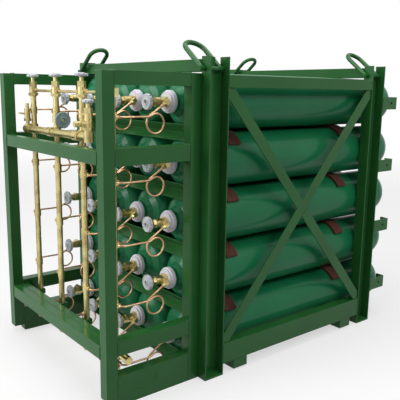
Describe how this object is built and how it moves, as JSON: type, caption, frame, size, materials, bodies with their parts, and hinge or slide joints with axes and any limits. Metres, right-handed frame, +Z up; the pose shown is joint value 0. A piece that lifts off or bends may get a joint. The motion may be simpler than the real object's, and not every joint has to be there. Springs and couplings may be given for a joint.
{
  "type": "gas cylinder bundle",
  "caption": "Rack of lying high-pressure gas cylinders with lifting bails, a brass valve manifold with copper pigtails and a tube guard cage.",
  "frame": {"origin": "middle of the bounding box on the ground", "axes": "+X to the right seen from the valve side, +Y from the valves to the cylinder bases, +Z up"},
  "size_m": [1.06, 1.768, 1.3986],
  "materials": {
    "frame_paint": "gloss",
    "cylinder_paint": "gloss",
    "ring_paint": "satin",
    "brass": "satin",
    "copper_tube": "satin",
    "wheel_grey": "satin",
    "wheel_blue": "satin",
    "strip_rubber": "matte"
  },
  "bodies": {
    "bundle": {"cylinders_row_1": "cylinder_paint", "cylinders_row_2": "cylinder_paint", "cylinders_row_3": "cylinder_paint", "cylinders_row_4": "cylinder_paint", "cylinders_row_5": "cylinder_paint", "neck_rings": "ring_paint", "cylinder_valves": "brass", "risers": "brass", "header_pipe": "brass", "manifold_valves": "brass", "link_tubes": "brass", "relief_valve": "brass", "fill_coupling": "brass", "pigtails_col_1": "copper_tube", "pigtails_col_2": "copper_tube", "pigtails_col_3": "copper_tube", "pigtails_col_4": "copper_tube", "riser_clamps": "frame_paint", "post_front_right": "frame_paint", "post_front_left": "frame_paint", "post_rear_right": "frame_paint", "post_rear_left": "frame_paint", "side_rails": "frame_paint", "side_braces": "frame_paint", "cross_beams": "frame_paint", "retaining_angles": "frame_paint", "rear_lugs": "frame_paint", "cage_frame_right": "frame_paint", "cage_frame_left": "frame_paint", "cage_front_beams": "frame_paint", "spacer_strips": "strip_rubber"},
    "handwheel_row1_col1": {"handwheel_row1_col1": "wheel_grey"},
    "handwheel_row1_col2": {"handwheel_row1_col2": "wheel_grey"},
    "handwheel_row1_col3": {"handwheel_row1_col3": "wheel_grey"},
    "handwheel_row1_col4": {"handwheel_row1_col4": "wheel_grey"},
    "handwheel_row2_col1": {"handwheel_row2_col1": "wheel_grey"},
    "handwheel_row2_col2": {"handwheel_row2_col2": "wheel_grey"},
    "handwheel_row2_col3": {"handwheel_row2_col3": "wheel_grey"},
    "handwheel_row2_col4": {"handwheel_row2_col4": "wheel_grey"},
    "handwheel_row3_col1": {"handwheel_row3_col1": "wheel_grey"},
    "handwheel_row3_col2": {"handwheel_row3_col2": "wheel_grey"},
    "handwheel_row3_col3": {"handwheel_row3_col3": "wheel_grey"},
    "handwheel_row3_col4": {"handwheel_row3_col4": "wheel_grey"},
    "handwheel_row4_col1": {"handwheel_row4_col1": "wheel_grey"},
    "handwheel_row4_col2": {"handwheel_row4_col2": "wheel_grey"},
    "handwheel_row4_col3": {"handwheel_row4_col3": "wheel_grey"},
    "handwheel_row4_col4": {"handwheel_row4_col4": "wheel_grey"},
    "handwheel_row5_col1": {"handwheel_row5_col1": "wheel_grey"},
    "handwheel_row5_col2": {"handwheel_row5_col2": "wheel_grey"},
    "handwheel_row5_col3": {"handwheel_row5_col3": "wheel_grey"},
    "handwheel_row5_col4": {"handwheel_row5_col4": "wheel_grey"},
    "station_wheel_1": {"station_wheel_1": "wheel_grey"},
    "station_wheel_2": {"station_wheel_2": "wheel_grey"},
    "station_wheel_3": {"station_wheel_3": "wheel_grey"},
    "outlet_wheel": {"outlet_wheel": "wheel_grey"},
    "branch_wheel": {"branch_wheel": "wheel_blue"},
    "bail_front_right": {"bail_front_right": "frame_paint"},
    "bail_front_left": {"bail_front_left": "frame_paint"},
    "bail_rear_right": {"bail_rear_right": "frame_paint"},
    "bail_rear_left": {"bail_rear_left": "frame_paint"}
  },
  "joints": [
    {"name": "handwheel_row1_col1_turn", "type": "hinge", "parent": "bundle", "child": "handwheel_row1_col1", "pos_m": [0.357, -0.606, 1.154], "axis": [0, -1, 0], "range_deg": [0, 630]},
    {"name": "handwheel_row1_col2_turn", "type": "hinge", "parent": "bundle", "child": "handwheel_row1_col2", "pos_m": [0.119, -0.606, 1.154], "axis": [0, -1, 0], "range_deg": [0, 630]},
    {"name": "handwheel_row1_col3_turn", "type": "hinge", "parent": "bundle", "child": "handwheel_row1_col3", "pos_m": [-0.119, -0.606, 1.154], "axis": [0, -1, 0], "range_deg": [0, 630]},
    {"name": "handwheel_row1_col4_turn", "type": "hinge", "parent": "bundle", "child": "handwheel_row1_col4", "pos_m": [-0.357, -0.606, 1.154], "axis": [0, -1, 0], "range_deg": [0, 630]},
    {"name": "handwheel_row2_col1_turn", "type": "hinge", "parent": "bundle", "child": "handwheel_row2_col1", "pos_m": [0.357, -0.606, 0.91], "axis": [0, -1, 0], "range_deg": [0, 630]},
    {"name": "handwheel_row2_col2_turn", "type": "hinge", "parent": "bundle", "child": "handwheel_row2_col2", "pos_m": [0.119, -0.606, 0.91], "axis": [0, -1, 0], "range_deg": [0, 630]},
    {"name": "handwheel_row2_col3_turn", "type": "hinge", "parent": "bundle", "child": "handwheel_row2_col3", "pos_m": [-0.119, -0.606, 0.91], "axis": [0, -1, 0], "range_deg": [0, 630]},
    {"name": "handwheel_row2_col4_turn", "type": "hinge", "parent": "bundle", "child": "handwheel_row2_col4", "pos_m": [-0.357, -0.606, 0.91], "axis": [0, -1, 0], "range_deg": [0, 630]},
    {"name": "handwheel_row3_col1_turn", "type": "hinge", "parent": "bundle", "child": "handwheel_row3_col1", "pos_m": [0.357, -0.606, 0.666], "axis": [0, -1, 0], "range_deg": [0, 630]},
    {"name": "handwheel_row3_col2_turn", "type": "hinge", "parent": "bundle", "child": "handwheel_row3_col2", "pos_m": [0.119, -0.606, 0.666], "axis": [0, -1, 0], "range_deg": [0, 630]},
    {"name": "handwheel_row3_col3_turn", "type": "hinge", "parent": "bundle", "child": "handwheel_row3_col3", "pos_m": [-0.119, -0.606, 0.666], "axis": [0, -1, 0], "range_deg": [0, 630]},
    {"name": "handwheel_row3_col4_turn", "type": "hinge", "parent": "bundle", "child": "handwheel_row3_col4", "pos_m": [-0.357, -0.606, 0.666], "axis": [0, -1, 0], "range_deg": [0, 630]},
    {"name": "handwheel_row4_col1_turn", "type": "hinge", "parent": "bundle", "child": "handwheel_row4_col1", "pos_m": [0.357, -0.606, 0.422], "axis": [0, -1, 0], "range_deg": [0, 630]},
    {"name": "handwheel_row4_col2_turn", "type": "hinge", "parent": "bundle", "child": "handwheel_row4_col2", "pos_m": [0.119, -0.606, 0.422], "axis": [0, -1, 0], "range_deg": [0, 630]},
    {"name": "handwheel_row4_col3_turn", "type": "hinge", "parent": "bundle", "child": "handwheel_row4_col3", "pos_m": [-0.119, -0.606, 0.422], "axis": [0, -1, 0], "range_deg": [0, 630]},
    {"name": "handwheel_row4_col4_turn", "type": "hinge", "parent": "bundle", "child": "handwheel_row4_col4", "pos_m": [-0.357, -0.606, 0.422], "axis": [0, -1, 0], "range_deg": [0, 630]},
    {"name": "handwheel_row5_col1_turn", "type": "hinge", "parent": "bundle", "child": "handwheel_row5_col1", "pos_m": [0.357, -0.606, 0.178], "axis": [0, -1, 0], "range_deg": [0, 630]},
    {"name": "handwheel_row5_col2_turn", "type": "hinge", "parent": "bundle", "child": "handwheel_row5_col2", "pos_m": [0.119, -0.606, 0.178], "axis": [0, -1, 0], "range_deg": [0, 630]},
    {"name": "handwheel_row5_col3_turn", "type": "hinge", "parent": "bundle", "child": "handwheel_row5_col3", "pos_m": [-0.119, -0.606, 0.178], "axis": [0, -1, 0], "range_deg": [0, 630]},
    {"name": "handwheel_row5_col4_turn", "type": "hinge", "parent": "bundle", "child": "handwheel_row5_col4", "pos_m": [-0.357, -0.606, 0.178], "axis": [0, -1, 0], "range_deg": [0, 630]},
    {"name": "station_wheel_1_turn", "type": "hinge", "parent": "bundle", "child": "station_wheel_1", "pos_m": [-0.36, -0.774, 1.25], "axis": [0, 0, 1], "range_deg": [0, 630]},
    {"name": "station_wheel_2_turn", "type": "hinge", "parent": "bundle", "child": "station_wheel_2", "pos_m": [-0.12, -0.774, 1.25], "axis": [0, 0, 1], "range_deg": [0, 630]},
    {"name": "station_wheel_3_turn", "type": "hinge", "parent": "bundle", "child": "station_wheel_3", "pos_m": [0.12, -0.774, 1.25], "axis": [0, 0, 1], "range_deg": [0, 630]},
    {"name": "outlet_wheel_turn", "type": "hinge", "parent": "bundle", "child": "outlet_wheel", "pos_m": [0.226, -0.803, 1.15], "axis": [0, 0, 1], "range_deg": [0, 630]},
    {"name": "branch_wheel_turn", "type": "hinge", "parent": "bundle", "child": "branch_wheel", "pos_m": [-0.068, -0.774, 1.066], "axis": [1, 0, 0], "range_deg": [0, 630]},
    {"name": "bail_front_right_turn", "type": "hinge", "parent": "bundle", "child": "bail_front_right", "pos_m": [0.494, -0.412, 1.284], "axis": [0, 1, 0], "range_deg": [0, 212]},
    {"name": "bail_front_left_turn", "type": "hinge", "parent": "bundle", "child": "bail_front_left", "pos_m": [-0.494, -0.412, 1.284], "axis": [0, -1, 0], "range_deg": [0, 212]},
    {"name": "bail_rear_right_turn", "type": "hinge", "parent": "bundle", "child": "bail_rear_right", "pos_m": [0.494, 0.62, 1.284], "axis": [0, 1, 0], "range_deg": [0, 156]},
    {"name": "bail_rear_left_turn", "type": "hinge", "parent": "bundle", "child": "bail_rear_left", "pos_m": [-0.494, 0.62, 1.284], "axis": [0, -1, 0], "range_deg": [0, 156]}
  ]
}
